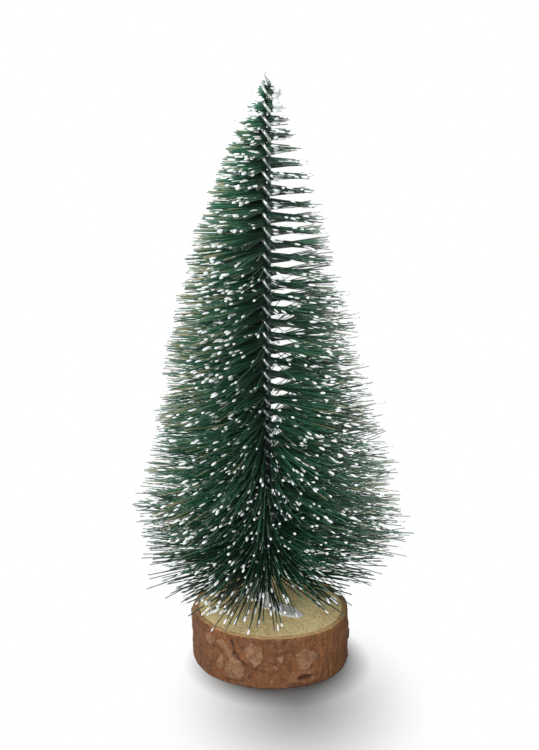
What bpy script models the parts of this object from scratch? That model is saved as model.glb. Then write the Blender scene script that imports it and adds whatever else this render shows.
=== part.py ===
"""Tabletop tree: a twisted-wire brush of green filament, glued into a bark-edged log slice.

Metres, +Z up. The origin lies on the underside of the slice, straight below the stem.
"""

import math
import random

import bmesh
import bpy
from mathutils import Vector

# Overall sizes
TREE_HEIGHT = 0.200  # underside of the slice to the cut end of the longer stem wire
WIRE_TIP = 0.0045  # bare wire above the topmost filament
BARE_STEM = 0.0110  # bare wire between the slice and the lowest filament
SEAT_GAP = 0.0003  # clearance between pieces that rest on or hold each other

# Log slice
SLICE_HEIGHT = 0.0185
SLICE_RADIUS = 0.0266  # mean radius over the bark
SLICE_OFFSET_X = 0.0016  # the stem hole was drilled this far off the slice's centre
BARK_THICKNESS = 0.0022
BARK_EDGE = 0.0008  # rounding of the bark's sawn rims
HOLE_FLOOR = 0.0060  # wood left under the blind stem hole
SLICE_SIDES = 56
# Each wave of the slice's outline: bumps round the log, height as a share of the radius, phase
SLICE_WAVES = ((2, 0.014, 0.6), (3, 0.009, 2.1), (5, 0.005, 4.0))

# Stem of two twisted wires
WIRE_RADIUS = 0.00062
SHORT_WIRE_TIP = 0.0012  # the second wire is cut this far above the topmost filament
TIP_ORBIT = 0.0002  # the longer wire's end leans in to this distance from the stem's axis
FILAMENT_LAYER = 0.0003  # thickness of the filament sheet that the wires pinch
PINCH_GAP = 0.00025  # clearance between that sheet and each wire
WIRE_POINTS_PER_TURN = 8

# Brush of filament
BRUSH_TURNS = 19
BRUSH_RADIUS = 0.0530  # reach at the foot, before the lowest strands are shortened
OUTLINE_POWER = 0.68  # 1 trims the brush to a straight cone, and less leaves a fuller one
FOOT_SHARE = 0.52  # length of the lowest strands as a share of the outline
FOOT_FADE = 0.0055  # height over which shortening and droop die away
RIM_CLEARANCE = 0.0075  # lowest strands pass this far above the rim of the slice
STRANDS_PER_TURN = 12  # on each edge of the filament sheet
SHEET_REACH = 0.0003  # filament sheet beyond the outside of the wires
TIP_SHARE = 0.85  # a strand stands for a lock of filaments, and its tip has this share of its root's height
AZIMUTH_SPREAD = math.radians(8.0)
LIFT_SPREAD = 0.8  # stray of a tip from its level, as a share of the room that its taper leaves
LENGTH_SPREAD = 0.06
BRUSH_SEED = 7

# Hot-melt glue
GLUE_SPREAD = 0.0040  # width of the fillet's foot beyond the stem
GLUE_HEIGHT = 0.0042  # climb up the stem
GLUE_SHOULDER = 0.0018  # height half-way out
GLUE_LIP = 0.0009  # height of the rounded rim
GLUE_LIP_ROUND = 0.0006
GLUE_SMEAR = 0.0080  # reach of the smear beyond that foot
GLUE_SMEAR_AZIMUTH = math.radians(-41.0)
GLUE_SMEAR_SHARPNESS = 6  # higher is narrower
ROUND_SIDES = 24

# Mesh settings
SMOOTH_ANGLE = math.radians(40.0)
MERGE_DISTANCE = 1e-6

# Values that follow from the sizes above
SLICE_TOP = SLICE_HEIGHT
BRUSH_FOOT = SLICE_TOP + BARE_STEM
BRUSH_TOP = TREE_HEIGHT - WIRE_TIP
BRUSH_LENGTH = BRUSH_TOP - BRUSH_FOOT
SHORT_WIRE_TOP = BRUSH_TOP + SHORT_WIRE_TIP
TWIST_PITCH = BRUSH_LENGTH / BRUSH_TURNS
WIRE_ORBIT = WIRE_RADIUS + FILAMENT_LAYER / 2 + PINCH_GAP
STEM_RADIUS = WIRE_ORBIT + WIRE_RADIUS
STEM_HOLE_RADIUS = STEM_RADIUS + SEAT_GAP
STEM_FOOT = HOLE_FLOOR + SEAT_GAP
STRAND_RISE = TWIST_PITCH / STRANDS_PER_TURN
SHEET_HALF_WIDTH = STEM_RADIUS + SHEET_REACH
SHORTEST_STRAND = 2 * SHEET_HALF_WIDTH
BEYOND_SHEET = (SHEET_HALF_WIDTH + SHORTEST_STRAND) / 2  # farther out, a vertex belongs to a tip
LARGEST_WAVE = sum(height for _, height, _ in SLICE_WAVES)
RIM_REACH = SLICE_RADIUS * (1 + LARGEST_WAVE) + abs(SLICE_OFFSET_X)
FOOT_DROOP = math.atan2(BARE_STEM - RIM_CLEARANCE, RIM_REACH)


def clear_scene():
    for obj in list(bpy.data.objects):
        bpy.data.objects.remove(obj)


def new_collection(name):
    collection = bpy.data.collections.new(name)
    bpy.context.scene.collection.children.link(collection)
    return collection


def move_to(obj, collection):
    for old in obj.users_collection:
        old.objects.unlink(obj)
    collection.objects.link(obj)


def make_material(name, colour, roughness, metallic=0.0):
    material = bpy.data.materials.new(name)
    material.use_nodes = True
    shader = material.node_tree.nodes["Principled BSDF"]
    shader.inputs["Base Color"].default_value = (*colour, 1.0)
    shader.inputs["Roughness"].default_value = roughness
    shader.inputs["Metallic"].default_value = metallic
    return material


def object_from(bm, name, material, collection):
    bmesh.ops.recalc_face_normals(bm, faces=bm.faces)
    if bm.calc_volume(signed=True) < 0:
        bmesh.ops.reverse_faces(bm, faces=bm.faces)
    mesh = bpy.data.meshes.new(name)
    bm.to_mesh(mesh)
    bm.free()
    mesh.materials.append(material)
    obj = bpy.data.objects.new(name, mesh)
    collection.objects.link(obj)
    return obj


# Log slice

def slice_outline(azimuth, inset=0.0):
    """Radius of the slice's outline at an azimuth, less an inset."""
    waves = sum(h * math.cos(n * azimuth + phase) for n, h, phase in SLICE_WAVES)
    return SLICE_RADIUS * (1 + waves) - inset


def slice_cylinder(name, inset, fill, material, collection):
    """A cylinder as tall as the slice, with the slice's uneven outline."""
    bpy.ops.mesh.primitive_cylinder_add(
        vertices=SLICE_SIDES, radius=1.0, depth=SLICE_HEIGHT, end_fill_type=fill
    )
    obj = bpy.context.active_object
    obj.name = name
    for vertex in obj.data.vertices:
        azimuth = math.atan2(vertex.co.y, vertex.co.x)
        reach = slice_outline(azimuth, inset)
        vertex.co.x = reach * math.cos(azimuth)
        vertex.co.y = reach * math.sin(azimuth)
    obj.location = (SLICE_OFFSET_X, 0.0, SLICE_HEIGHT / 2)
    obj.data.materials.append(material)
    move_to(obj, collection)
    return obj


def make_bark(parts):
    material = make_material("bark", (0.205, 0.078, 0.036), 0.85)
    bark = slice_cylinder("bark_ring", 0.0, "NOTHING", material, parts)
    wall = bark.modifiers.new("bark_wall", "SOLIDIFY")
    wall.thickness = BARK_THICKNESS
    wall.offset = -1.0
    wall.use_even_offset = True
    rim = bark.modifiers.new("worn_rims", "BEVEL")
    rim.width = BARK_EDGE
    rim.segments = 1
    rim.limit_method = "ANGLE"
    bark.data.shade_smooth()
    bark.data.set_sharp_from_angle(angle=SMOOTH_ANGLE)
    return bark


def make_core(parts, cutters):
    """The sawn wood inside the bark, with a blind hole for the stem."""
    material = make_material("sawn_wood", (0.52, 0.37, 0.17), 0.8)
    core = slice_cylinder("log_slice_core", BARK_THICKNESS + SEAT_GAP, "NGON", material, parts)
    bpy.ops.mesh.primitive_cylinder_add(
        vertices=ROUND_SIDES, radius=STEM_HOLE_RADIUS, depth=2 * (SLICE_TOP - HOLE_FLOOR)
    )
    drill = bpy.context.active_object
    drill.name = "stem_hole_drill"
    drill.location.z = SLICE_TOP
    drill.hide_render = True
    drill.display_type = "WIRE"
    move_to(drill, cutters)
    hole = core.modifiers.new("stem_hole", "BOOLEAN")
    hole.operation = "DIFFERENCE"
    hole.object = drill
    return core


def make_glue(parts):
    """A fillet of glue round the stem with one smear pressed out across the wood."""
    material = make_material("hot_melt_glue", (0.62, 0.62, 0.60), 0.25)
    inner = STEM_RADIUS + SEAT_GAP
    outer = inner + GLUE_SPREAD
    profile = (
        (inner, 0.0),
        (inner, GLUE_HEIGHT),
        ((inner + outer) / 2, GLUE_SHOULDER),
        (outer - GLUE_LIP_ROUND, GLUE_LIP),
        (outer, 0.0),
    )
    bm = bmesh.new()
    ring = bm.faces.new([bm.verts.new((reach, 0.0, height)) for reach, height in profile])
    bmesh.ops.spin(
        bm, geom=[*ring.verts, *ring.edges], cent=(0, 0, 0), axis=(0, 0, 1),
        angle=math.tau, steps=ROUND_SIDES, use_merge=True,
    )
    bm.faces.remove(ring)
    for vertex in bm.verts:
        azimuth = math.atan2(vertex.co.y, vertex.co.x)
        reach = vertex.co.xy.length
        outward = (reach - inner) / GLUE_SPREAD
        towards_smear = max(0.0, math.cos(azimuth - GLUE_SMEAR_AZIMUTH)) ** GLUE_SMEAR_SHARPNESS
        stretch = 1 + GLUE_SMEAR * towards_smear * outward / reach
        vertex.co.x *= stretch
        vertex.co.y *= stretch
    glue = object_from(bm, "glue_puddle", material, parts)
    glue.location.z = SLICE_TOP + SEAT_GAP
    return glue


# Twisted stem

def twist_angle(height):
    """Azimuth of the first wire at a height. The wires twist left-handed."""
    return -math.tau * (height - BRUSH_FOOT) / TWIST_PITCH


def wire_orbit(height):
    """Distance of a wire from the stem's axis. Above the shorter wire the longer one leans in."""
    alone = max(0.0, height - SHORT_WIRE_TOP) / (TREE_HEIGHT - SHORT_WIRE_TOP)
    return WIRE_ORBIT + (TIP_ORBIT - WIRE_ORBIT) * alone


def wire_points(start, top):
    turns = (top - STEM_FOOT) / TWIST_PITCH
    count = math.ceil(turns * WIRE_POINTS_PER_TURN)
    points = []
    for index in range(count + 1):
        height = STEM_FOOT + (top - STEM_FOOT) * index / count
        angle = twist_angle(height) + start
        orbit = wire_orbit(height)
        points.append(Vector((orbit * math.cos(angle), orbit * math.sin(angle), height)))
    return points


def least_gap(points):
    """Least clear distance between stretches of one wire that lie over half a turn apart."""
    apart = WIRE_POINTS_PER_TURN // 2 + 1
    nearest = min(
        (a - b).length for i, a in enumerate(points) for b in points[i + apart:]
    )
    return nearest - 2 * WIRE_RADIUS


def make_wire(name, start, top, material, parts):
    points = wire_points(start, top)
    curve = bpy.data.curves.new(name, "CURVE")
    curve.dimensions = "3D"
    curve.bevel_depth = WIRE_RADIUS
    curve.bevel_resolution = 1
    curve.use_fill_caps = True
    spline = curve.splines.new("POLY")
    spline.points.add(len(points) - 1)
    for place, point in zip(spline.points, points):
        place.co = (*point, 1.0)
    curve.materials.append(material)
    wire = bpy.data.objects.new(name, curve)
    parts.objects.link(wire)
    print(f"{name}: least gap to itself {least_gap(points) * 1000:.2f} mm")
    return wire


# Brush of filament

def outline_radius(height):
    """Reach of the strands that leave the stem at a height."""
    climb = min(1.0, max(0.0, (height - BRUSH_FOOT) / BRUSH_LENGTH))
    reach = BRUSH_RADIUS * (1 - climb) ** OUTLINE_POWER
    shorter = (1 - FOOT_SHARE) * math.exp(-(height - BRUSH_FOOT) / FOOT_FADE)
    return reach * (1 - shorter)


def strand_tilt(height):
    """Angle above level. Only the lowest strands droop, because nothing below props them."""
    return -FOOT_DROOP * math.exp(-max(0.0, height - BRUSH_FOOT) / FOOT_FADE)


def filament_sheet(low, high):
    """One turn of the twisted sheet of filament middles that lies between the wires."""
    bm = bmesh.new()
    bmesh.ops.create_grid(bm, x_segments=1, y_segments=2, size=1.0)
    facing = twist_angle(low)
    along = Vector((math.cos(facing), math.sin(facing), 0.0))
    across = Vector((-math.sin(facing), math.cos(facing), 0.0))
    for vertex in bm.verts:
        thick = vertex.co.x * FILAMENT_LAYER / 2
        wide = vertex.co.y * SHEET_HALF_WIDTH
        vertex.co = along * thick + across * wide + Vector((0.0, 0.0, low - BRUSH_FOOT))
    bmesh.ops.spin(
        bm, geom=[*bm.verts, *bm.edges, *bm.faces], cent=(0, 0, 0), axis=(0, 0, 1),
        dvec=(0, 0, (high - low) / STRANDS_PER_TURN),
        angle=twist_angle(high) - twist_angle(low), steps=STRANDS_PER_TURN,
    )
    split_twisted_faces(bm)
    return bm


def split_twisted_faces(bm):
    """Splits both sides of the sheet along the same diagonals, so that it keeps its thickness."""
    for face in list(bm.faces):
        by_height = sorted(face.verts, key=lambda v: v.co.z)
        climbs = by_height[-1].co.z - by_height[0].co.z > MERGE_DISTANCE
        if climbs and not on_sheet_edge(face):
            axis_low = min(by_height[:2], key=lambda v: v.co.xy.length)
            edge_high = max(by_height[2:], key=lambda v: v.co.xy.length)
            bmesh.utils.face_split(face, axis_low, edge_high)


def on_sheet_edge(face):
    return all(vertex.co.xy.length > SHEET_HALF_WIDTH for vertex in face.verts)


def upward_then_round(face):
    """Sort key that takes strands from the lowest up, and each pair in one order."""
    root = face.calc_center_median()
    return math.floor(root.z / STRAND_RISE), math.atan2(root.y, root.x)


def draw_out_strand(face, chance):
    """Draws an extruded edge face of the sheet out to the thin upright tip of its strand."""
    root = face.calc_center_median()
    height = root.z + BRUSH_FOOT
    azimuth = math.atan2(root.y, root.x) + chance.uniform(-AZIMUTH_SPREAD, AZIMUTH_SPREAD)
    lift = STRAND_RISE * (1 - TIP_SHARE) / 2 * chance.uniform(-LIFT_SPREAD, LIFT_SPREAD)
    reach = outline_radius(height) * chance.uniform(1 - LENGTH_SPREAD, 1.0)
    reach = max(reach, SHORTEST_STRAND)
    outward = Vector((math.cos(azimuth), math.sin(azimuth), math.tan(strand_tilt(height))))
    tip = Vector((0.0, 0.0, root.z + lift)) + outward * reach
    half_tip = Vector((0.0, 0.0, STRAND_RISE * TIP_SHARE / 2))
    for vertex in face.verts:
        vertex.co = tip + (half_tip if vertex.co.z > root.z else -half_tip)


def split_strand_sides(bm):
    """Splits both broad sides of each strand from the foot of its root to the top of its tip."""
    for face in list(bm.faces):
        by_reach = sorted(face.verts, key=lambda v: v.co.xy.length)
        if len(by_reach) == 4 and by_reach[2].co.xy.length > BEYOND_SHEET:
            root_low = min(by_reach[:2], key=lambda v: v.co.z)
            tip_high = max(by_reach[2:], key=lambda v: v.co.z)
            bmesh.utils.face_split(face, root_low, tip_high)


def make_bristle_turn(turn, material, chance, parts):
    low = BRUSH_FOOT + turn * TWIST_PITCH + SEAT_GAP / 2
    high = low + TWIST_PITCH - SEAT_GAP
    bm = filament_sheet(low, high)
    edges = [face for face in bm.faces if on_sheet_edge(face)]
    ends = bmesh.ops.extrude_discrete_faces(bm, faces=edges)["faces"]
    for face in sorted(ends, key=upward_then_round):
        draw_out_strand(face, chance)
    bmesh.ops.remove_doubles(bm, verts=bm.verts, dist=MERGE_DISTANCE)
    split_strand_sides(bm)
    bristles = object_from(bm, f"bristle_turn_{turn + 1:02d}", material, parts)
    bristles.location.z = BRUSH_FOOT
    return bristles


def main():
    clear_scene()
    parts = new_collection("tabletop_tree")
    cutters = new_collection("cutters")
    make_bark(parts)
    make_core(parts, cutters)
    make_glue(parts)

    stem = bpy.data.objects.new("stem_axis", None)
    parts.objects.link(stem)
    lacquer = make_material("lacquered_wire", (0.34, 0.38, 0.36), 0.35, 0.9)
    for name, start, top in (
        ("stem_wire_a", 0.0, TREE_HEIGHT),
        ("stem_wire_b", math.pi, SHORT_WIRE_TOP),
    ):
        make_wire(name, start, top, lacquer, parts).parent = stem
    filament = make_material("green_filament", (0.010, 0.060, 0.030), 0.45)
    chance = random.Random(BRUSH_SEED)
    for turn in range(BRUSH_TURNS):
        make_bristle_turn(turn, filament, chance, parts).parent = stem


main()
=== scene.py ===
"""Tabletop brush tree in a bark-edged log slice: its finishes, its floor, its light and its camera.

Metres, +Z up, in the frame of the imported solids. The side that the camera sees faces -Y.
"""

import math

import bmesh
import bpy
import numpy as np
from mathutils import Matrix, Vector, noise


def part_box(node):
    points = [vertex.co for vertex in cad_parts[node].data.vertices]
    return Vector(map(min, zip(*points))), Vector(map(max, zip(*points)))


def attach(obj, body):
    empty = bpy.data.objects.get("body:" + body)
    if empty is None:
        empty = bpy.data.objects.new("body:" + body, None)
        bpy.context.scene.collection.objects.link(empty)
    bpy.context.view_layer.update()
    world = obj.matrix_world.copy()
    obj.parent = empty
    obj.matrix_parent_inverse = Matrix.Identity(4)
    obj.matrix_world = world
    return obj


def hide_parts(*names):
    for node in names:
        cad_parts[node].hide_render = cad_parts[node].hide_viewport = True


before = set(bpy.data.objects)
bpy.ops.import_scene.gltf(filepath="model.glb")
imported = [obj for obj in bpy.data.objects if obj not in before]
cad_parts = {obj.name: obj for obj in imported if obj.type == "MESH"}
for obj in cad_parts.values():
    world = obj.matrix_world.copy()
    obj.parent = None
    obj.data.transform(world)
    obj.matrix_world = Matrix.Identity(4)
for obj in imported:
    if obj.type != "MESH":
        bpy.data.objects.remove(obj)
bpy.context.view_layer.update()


# Log slice core
# The sawn wood of a thin softwood log, cut across the grain and left rough from the saw.
# A blind hole drilled near its middle takes the stem, and the bark grips it all round.

SLICE_LOW, SLICE_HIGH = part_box("bark_ring")
SLICE_TOP = SLICE_HIGH.z
SLICE_RADIUS = 0.0266
SLICE_MIDDLE = Vector((0.0016, 0.0))  # the slice's own middle, beside the drilled hole
SLICE_WAVES = ((2, 0.014, 0.6), (3, 0.009, 2.1), (5, 0.005, 4.0))  # bumps round, height as a share, phase
BARK_THICKNESS = 0.0022
BARK_CLEARANCE = 0.00004
HOLE_RADIUS = 0.00194
HOLE_FLOOR = 0.0060
WORN_FOOT_SHARE = 0.985  # the lower edge is worn back to this share of the way out from the hole
WORN_FOOT_HEIGHT = 0.0004
CORE_COLUMNS = 320
TOP_RINGS = 44
SAW_ROUGHNESS = 0.00016
SAW_GRIT = 0.0009
SAW_FURROW_LENGTH = 0.0036
SAW_FURROW_WIDTH = 0.00072
GRIT_SHARE, FURROW_SHARE, SUNK_SHARE = 0.7, 0.5, 0.4  # of the roughness
SHARP_FROM = math.radians(50)  # edges that turn more than this stay sharp

END_GRAIN_PALE = "#fff0b6"
END_GRAIN_GOLD = "#f2cf80"
END_GRAIN_DARK = "#7a6a3c"
END_GRAIN_ROSY = "#d9a878"
FIBRE_SIZE = 0.0008  # coarser than real fibre ends, so that they show
PORE_SIZE = 0.0009
STAIN_SIZE = 0.011
NAP = 0.0003


def linear(hex_colour):
    """sRGB hex to the linear RGBA that a socket takes."""
    channels = [int(hex_colour[i:i + 2], 16) / 255 for i in (1, 3, 5)]
    return (*(c / 12.92 if c <= 0.04045 else ((c + 0.055) / 1.055) ** 2.4 for c in channels), 1.0)


def feed(tree, node, inputs):
    """Sets or links the inputs of a node, each given by its name or by its place."""
    live = [socket for socket in node.inputs if socket.enabled]
    for key, value in inputs.items():
        socket = live[key] if isinstance(key, int) else next(s for s in live if s.name == key)
        if isinstance(value, bpy.types.Node):
            value = next(s for s in value.outputs if s.enabled)
        if isinstance(value, bpy.types.NodeSocket):
            tree.links.new(value, socket)
        else:
            socket.default_value = value


def add(tree, kind, inputs=None, **settings):
    """Adds a node with its settings and feeds its inputs."""
    node = tree.nodes.new(kind)
    for setting, value in settings.items():
        setattr(node, setting, value)
    feed(tree, node, inputs or {})
    return node


def new_finish(name):
    """A material, its node tree, its shader and the coordinates of the piece that wears it."""
    material = bpy.data.materials.new(name)
    material.use_nodes = True
    tree = material.node_tree
    place = add(tree, "ShaderNodeTexCoord").outputs["Object"]
    return material, tree, tree.nodes["Principled BSDF"], place


def loft(name, rings, closes_on_itself, material):
    """A mesh through rings of points. It ends in flat caps, or its last ring meets its first."""
    shell = bmesh.new()
    rows = [[shell.verts.new(point) for point in ring] for ring in rings]
    if closes_on_itself:
        rows.append(rows[0])
    else:
        shell.faces.new(rows[0])
        shell.faces.new(rows[-1])
    for low, high in zip(rows, rows[1:]):
        for i in range(len(low)):
            shell.faces.new((low[i - 1], low[i], high[i], high[i - 1]))
    bmesh.ops.recalc_face_normals(shell, faces=shell.faces)
    mesh = bpy.data.meshes.new(name)
    shell.to_mesh(mesh)
    shell.free()
    mesh.materials.append(material)
    mesh.shade_smooth()
    mesh.set_sharp_from_angle(angle=SHARP_FROM)
    piece = bpy.data.objects.new(name, mesh)
    bpy.context.scene.collection.objects.link(piece)
    return piece


def slice_outline(azimuth, inset=0.0):
    """Distance from the slice's middle to its outside, or to a line inside that."""
    waves = sum(height * math.cos(bumps * azimuth + phase) for bumps, height, phase in SLICE_WAVES)
    return SLICE_RADIUS * (1 + waves) - inset


def saw_height(x, y):
    """Height of the sawn face, which on the whole lies a little under the rim of the bark."""
    grit = noise.noise(Vector((x, y, 0.0)) / SAW_GRIT)
    furrow = noise.noise(Vector((x / SAW_FURROW_LENGTH, y / SAW_FURROW_WIDTH, 3.0)))
    return SLICE_TOP + SAW_ROUGHNESS * (GRIT_SHARE * grit + FURROW_SHARE * furrow - SUNK_SHARE)


def core_ring(share, height=None):
    """A ring of the core, from the drilled hole (0) to the bark (1). Left alone, it lies on the saw cut."""
    ring = []
    for i in range(CORE_COLUMNS):
        azimuth = math.tau * i / CORE_COLUMNS
        way = Vector((math.cos(azimuth), math.sin(azimuth)))
        rim = SLICE_MIDDLE + way * slice_outline(azimuth, BARK_THICKNESS + BARK_CLEARANCE)
        spot = (way * HOLE_RADIUS).lerp(rim, share)
        ring.append((*spot, saw_height(*spot) if height is None else height))
    return ring


# Rough-sawn softwood end grain: cut fibre ends that catch the light as pale specks between dark pores.
sawn_wood, tree, shader, place = new_finish("rough_sawn_end_grain")
fibres = add(tree, "ShaderNodeTexNoise", {
    "Vector": place, "Scale": 1 / FIBRE_SIZE, "Detail": 3.0, "Roughness": 0.7})
pores = add(tree, "ShaderNodeTexNoise", {
    "Vector": place, "Scale": 1 / PORE_SIZE, "Detail": 3.0, "Roughness": 0.7})
stain = add(tree, "ShaderNodeTexNoise", {"Vector": place, "Scale": 1 / STAIN_SIZE, "Detail": 2.0})
lit = add(tree, "ShaderNodeMapRange", {"Value": fibres, "From Min": 0.37, "From Max": 0.53})
sunk = add(tree, "ShaderNodeMapRange", {"Value": pores, "From Min": 0.52, "From Max": 0.70, "To Max": 0.75})
rosy = add(tree, "ShaderNodeMapRange", {"Value": stain, "From Min": 0.50, "From Max": 0.75, "To Max": 0.5})
gold = add(tree, "ShaderNodeMix", {
    "Factor": lit, "A": linear(END_GRAIN_GOLD), "B": linear(END_GRAIN_PALE)}, data_type="RGBA")
warm = add(tree, "ShaderNodeMix", {"Factor": rosy, "A": gold, "B": linear(END_GRAIN_ROSY)}, data_type="RGBA")
specked = add(tree, "ShaderNodeMix", {
    "Factor": sunk, "A": warm, "B": linear(END_GRAIN_DARK)}, data_type="RGBA")
nap = add(tree, "ShaderNodeBump", {"Height": fibres, "Strength": 0.6, "Distance": NAP})
feed(tree, shader, {"Base Color": specked, "Normal": nap, "Roughness": 0.85})

core_rings = [core_ring(WORN_FOOT_SHARE, SLICE_LOW.z), core_ring(1.0, SLICE_LOW.z + WORN_FOOT_HEIGHT)]
core_rings += [core_ring(1 - i / TOP_RINGS) for i in range(TOP_RINGS + 1)]
core_rings += [core_ring(0.0, HOLE_FLOOR)]
core = loft("log_slice_core_finish", core_rings, False, sawn_wood)
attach(core, "root")
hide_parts("log_slice_core")


# Bark ring
# The log's own bark, left on the slice: thin, reddish, ploughed upright by its fibres and shedding
# in flakes. It still grips the wood, and its sawn rim shows as a thin tan line round the top, paler towards
# the front with painted highlight.

BARK_COLUMNS = 640
BARK_ROWS = 56
BARK_ROUND = 0.0007  # rounding of the sawn rims
ROUND_MIDDLE = 0.3  # share of that rounding at which a rim's curve passes its corner
RIM_STEPS = 4
RIM_SAG = 0.0002
RIM_SAGS_ROUND = 9  # sags in each radian
RIM_SAG_WIDTH = 0.001
RIM_HIGHLIGHT_FROM, RIM_HIGHLIGHT_TO = 75, 35  # degrees round from the front between which a painted highlight pales the rim
RIM_PALENESS = 0.45  # share of the rim's own sawn tan, at the back, without the painted highlight
FLAKE_RAISE = 0.00042
FLAKE_SIDES = 6
FLAKE_REACH, FLAKE_UNEVEN = 0.95, 0.3  # half-widths out to a flake's straight edges, and how far that varies
FLAKE_STRAY = 0.6  # radians by which they turn
FLAKE_RAGS = ((0.20, 0.0020, 1000), (0.14, 0.0008, 500))  # share, size, what tells one flake's from another's
FLAKE_EDGE = 0.05  # half-widths over which a flake ends
# Each flake in front, as on the log: degrees round from the front, height, width, length, degrees of lean
FRONT_FLAKES = (
    (-50, 0.0144, 0.0046, 0.0040, 0),
    (-38, 0.0143, 0.0044, 0.0034, -20),
    (-31.5, 0.0112, 0.0058, 0.0024, -45),
    (-12, 0.0127, 0.0058, 0.0076, 6),
    (-28, 0.0059, 0.0076, 0.0068, 28),
    (-40, 0.0071, 0.0032, 0.0050, -12),
    (26.5, 0.0104, 0.0076, 0.0086, 14),
    (7.5, 0.0108, 0.0016, 0.0032, 0),
)
BACK_FLAKES = 16
BACK_FLAKE_FROM = 75  # the back's flakes start this many degrees round from the front
BACK_FLAKE_STRAY = 0.3  # of the step from one to the next
BACK_FLAKE_HEIGHTS = (0.0035, 0.0150)
BACK_FLAKE_WIDTHS = (0.0035, 0.0075)
BACK_FLAKE_STRETCH = (0.7, 1.6)
BACK_FLAKE_LEAN = (-40, 40)
# The long crack in front, from the rim down: degrees round from the front, height
CRACK = ((-30.0, 0.0166), (-28.6, 0.0138), (-27.6, 0.0122), (-24.5, 0.0104), (-22.7, 0.0098), (-19.1, 0.0086))
CRACK_WIDTH = 0.00042
CRACK_FLOOR = 0.2  # share of that width at full depth
CRACK_DEPTH = 0.0006
CRACK_STRAY = 0.0003
CRACK_STRAY_LENGTH = 0.0009
KNOT = (25.5, 0.0036)  # degrees round from the front, height
KNOT_WIDTH = 0.0058
KNOT_HEIGHT = 0.0023
KNOT_DEPTH = 0.0008
KNOT_STRAY = 0.35  # of its half-width
KNOT_STRAY_LENGTH = 0.0016
KNOT_EDGE = (1.2, 0.5)  # half-widths from its middle at which its dark eye starts and is full
KNOT_LIP_EDGE = (2.6, 1.6)  # and the lip round that
KNOT_LIP = 0.0004
KNOT_LIP_PALENESS = 0.25  # of a flake's
FURROW_WIDTH = 0.0009
FURROW_LENGTH = 0.0075
FURROW_DEPTH = 0.00022
FURROWED_SIDE = 62  # degrees round to the side that is ploughed deepest
PLOUGHED_FROM, PLOUGHED_TO = 50, 15  # degrees from there between which the furrows deepen
UNPLOUGHED = 0.45  # share of the depth elsewhere
FLAKE_SMOOTHING = 0.6  # share of the furrows that a flake hides
LUMP_SIZE = 0.0065
LUMP_HEIGHT = 0.0005
BARK_GRIT = ((0.00014, 0.0011), (0.00007, 0.0005))  # height, size

BARK_BROWN = "#805436"
BARK_DARK = "#55331e"
BARK_RUSSET = "#90592c"
FLAKE_TAN = "#a27858"
FLAKE_GREY = "#7e5a41"
FURROW_DARK = "#724a2e"
FURROW_LIGHT = "#a56c3c"
SPECK_PINK = "#b98d70"
# painted shade, near black, inside the long crack
CRACK_PAINTED_SHADE = "#2f1c12"
KNOT_BROWN = "#4a2612"
RIM_TAN = "#d9b27c"
FIBRE_WIDTH = 0.0012  # coarser than real bark fibre, so that it shows
FIBRE_SQUASH = 0.14  # width of a fibre over its length
MOTTLE_SIZE = 0.0026
PATCH_SIZE = 0.0065
GRIT_SIZE = 0.0009
SPECK_SIZE = 0.0012
GRIT_DEPTH = 0.0005


def smooth_step(start, end, value):
    """0 before the start, 1 past the end and a soft change between. The end may be the lower of the two."""
    part = min(1.0, max(0.0, (value - start) / (end - start)))
    return part * part * (3 - 2 * part)


def scattered_flakes():
    """Flakes for the sides and back, spread evenly with a fixed stray."""
    chance = np.random.default_rng(5)
    step = (360 - 2 * BACK_FLAKE_FROM) / BACK_FLAKES
    for i in range(BACK_FLAKES):
        around = BACK_FLAKE_FROM + step * (i + chance.uniform(-BACK_FLAKE_STRAY, BACK_FLAKE_STRAY))
        height = chance.uniform(*BACK_FLAKE_HEIGHTS)
        width = chance.uniform(*BACK_FLAKE_WIDTHS)
        length = width * chance.uniform(*BACK_FLAKE_STRETCH)
        yield around, height, width, length, chance.uniform(*BACK_FLAKE_LEAN)


def turn_from(azimuth, degrees):
    """Angle, within half a turn, from a place given in degrees to the right of the front."""
    return (azimuth - math.radians(degrees - 90) + math.pi) % math.tau - math.pi


def arc_from(azimuth, degrees):
    """Distance round the bark from a place given in degrees to the right of the front."""
    return turn_from(azimuth, degrees) * SLICE_RADIUS


def flake_edges(around):
    """Directions of a flake's straight edges and their distance from its middle, no two flakes alike."""
    edges = []
    for k in range(FLAKE_SIDES):
        spot = Vector((around, 1.7 * k, 0.5))  # in the noise, far enough from the next edge's
        stray = noise.noise(spot)
        cut_back = noise.noise(spot + Vector((0.0, 0.0, 7.0)))
        way = math.tau * k / FLAKE_SIDES + FLAKE_STRAY * stray
        edges.append((way, FLAKE_REACH + FLAKE_UNEVEN * cut_back))
    return edges


def flake_cover(azimuth, height, flakes):
    """How far a spot lies on a flake (0 to 1), with ragged flake edges."""
    cover = 0.0
    for around, middle, width, length, lean, edges in flakes:
        across = arc_from(azimuth, around)
        up = height - middle
        if abs(across) > width + length or abs(up) > width + length:
            continue
        turn = math.radians(lean)
        wide = (across * math.cos(turn) + up * math.sin(turn)) * 2 / width
        high = (up * math.cos(turn) - across * math.sin(turn)) * 2 / length
        reach = max((wide * math.cos(way) + high * math.sin(way)) / share for way, share in edges)
        for share, size, apart in FLAKE_RAGS:
            reach += share * noise.noise(Vector((across, up, around / apart)) / size)
        cover = max(cover, smooth_step(1 + FLAKE_EDGE, 1 - FLAKE_EDGE, reach))
    return cover


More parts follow.
